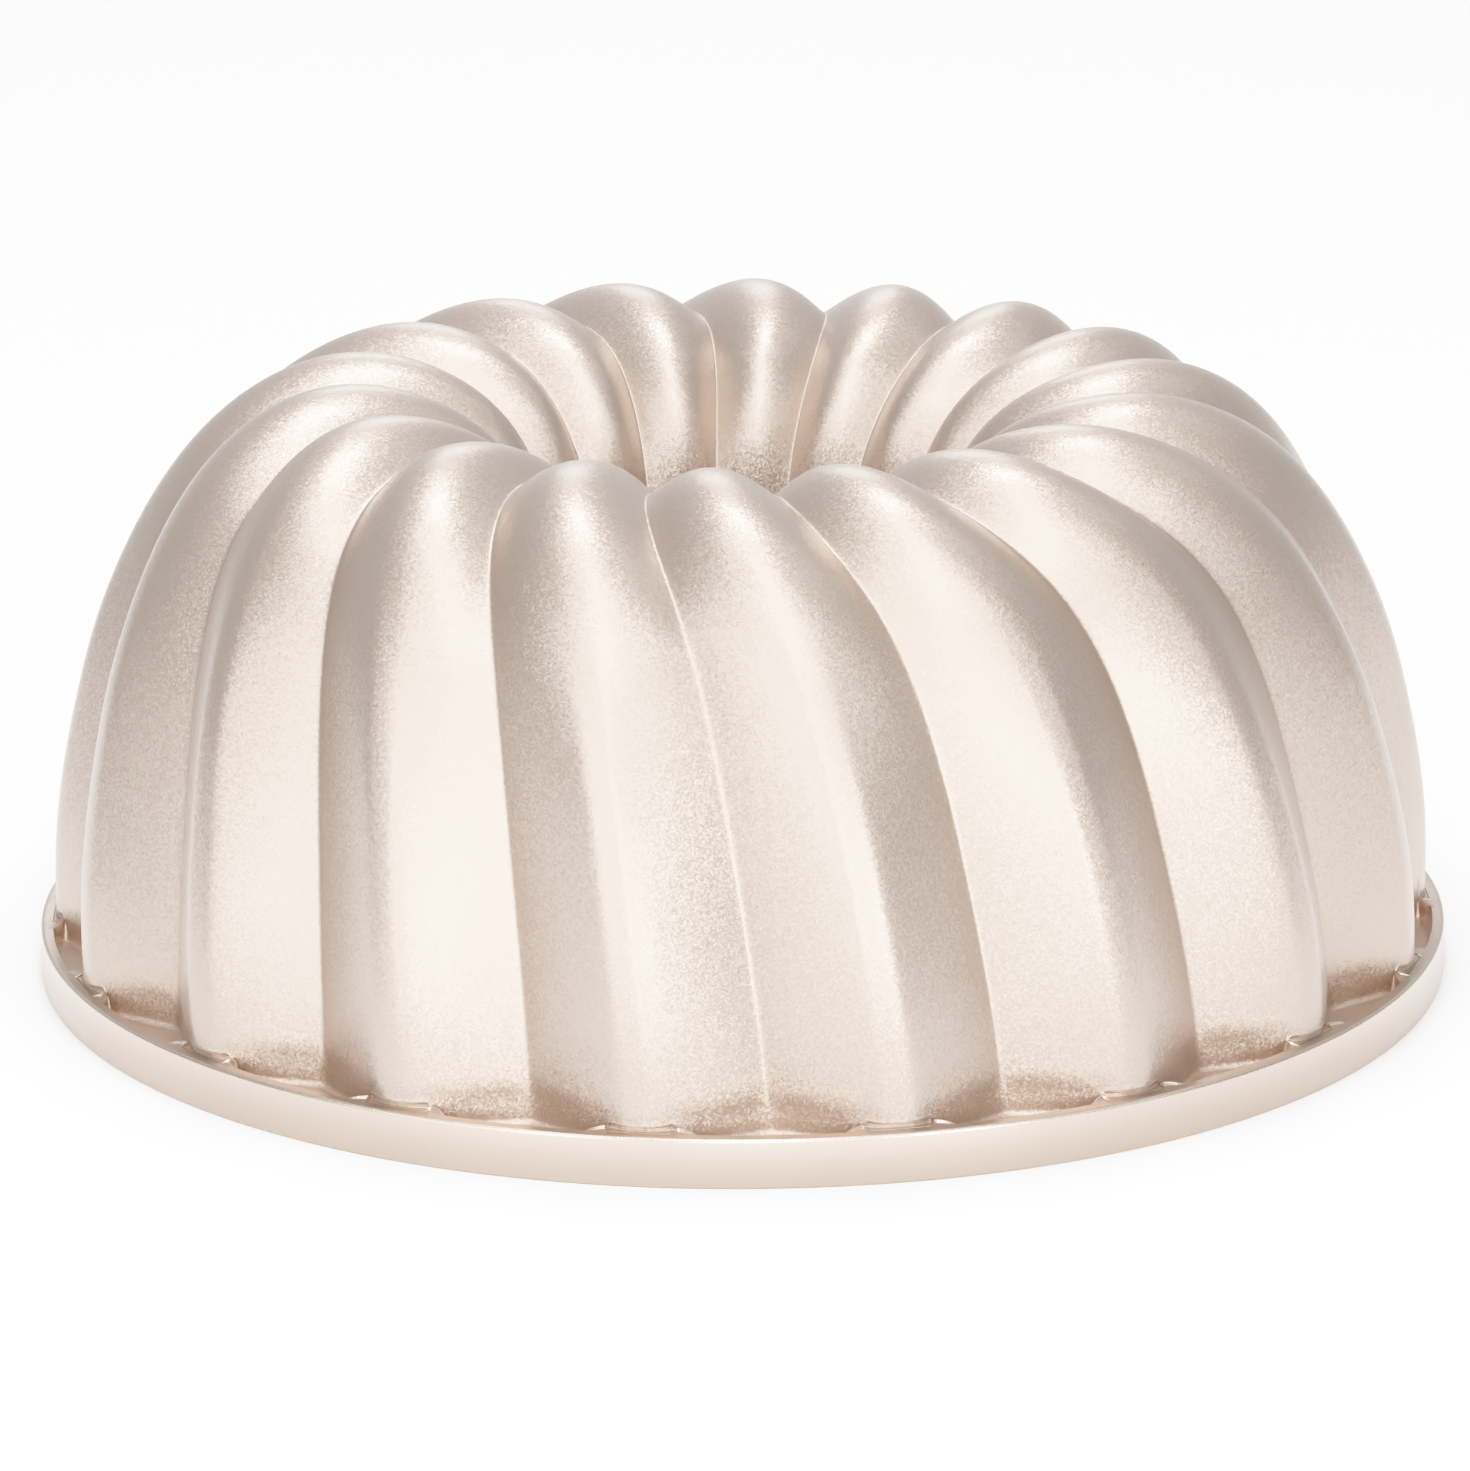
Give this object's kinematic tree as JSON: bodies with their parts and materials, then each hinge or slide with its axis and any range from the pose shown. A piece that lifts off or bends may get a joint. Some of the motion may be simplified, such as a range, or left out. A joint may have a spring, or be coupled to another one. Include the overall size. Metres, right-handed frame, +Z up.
{
  "type": "fluted tube pan",
  "caption": "Round cast baking mould with a swirl of rounded flutes running from a flat turned rim over the crown into an open centre tube, standing mouth down.",
  "frame": {"origin": "centre of the rim's flat rest face, on the plane that the upturned pan stands on", "axes": "+Z up through the crown along the axis of the centre tube; -Y is the side the picture looks at, where one valley between two flutes meets the rim; +X is to the right of that side"},
  "size_m": [0.25, 0.25, 0.1056],
  "materials": {
    "champagne_wall": "cast aluminium with a satin champagne release coating and a fine orange-peel grain",
    "champagne_cone": "cast aluminium with the same satin champagne coating",
    "champagne_rim": "lathe-turned aluminium under the same champagne coating, smoother than the wall"
  },
  "bodies": {
    "root": {"fluted_shell": "champagne_wall", "centre_tube": "champagne_cone", "rim_flange": "champagne_rim"}
  },
  "joints": []
}
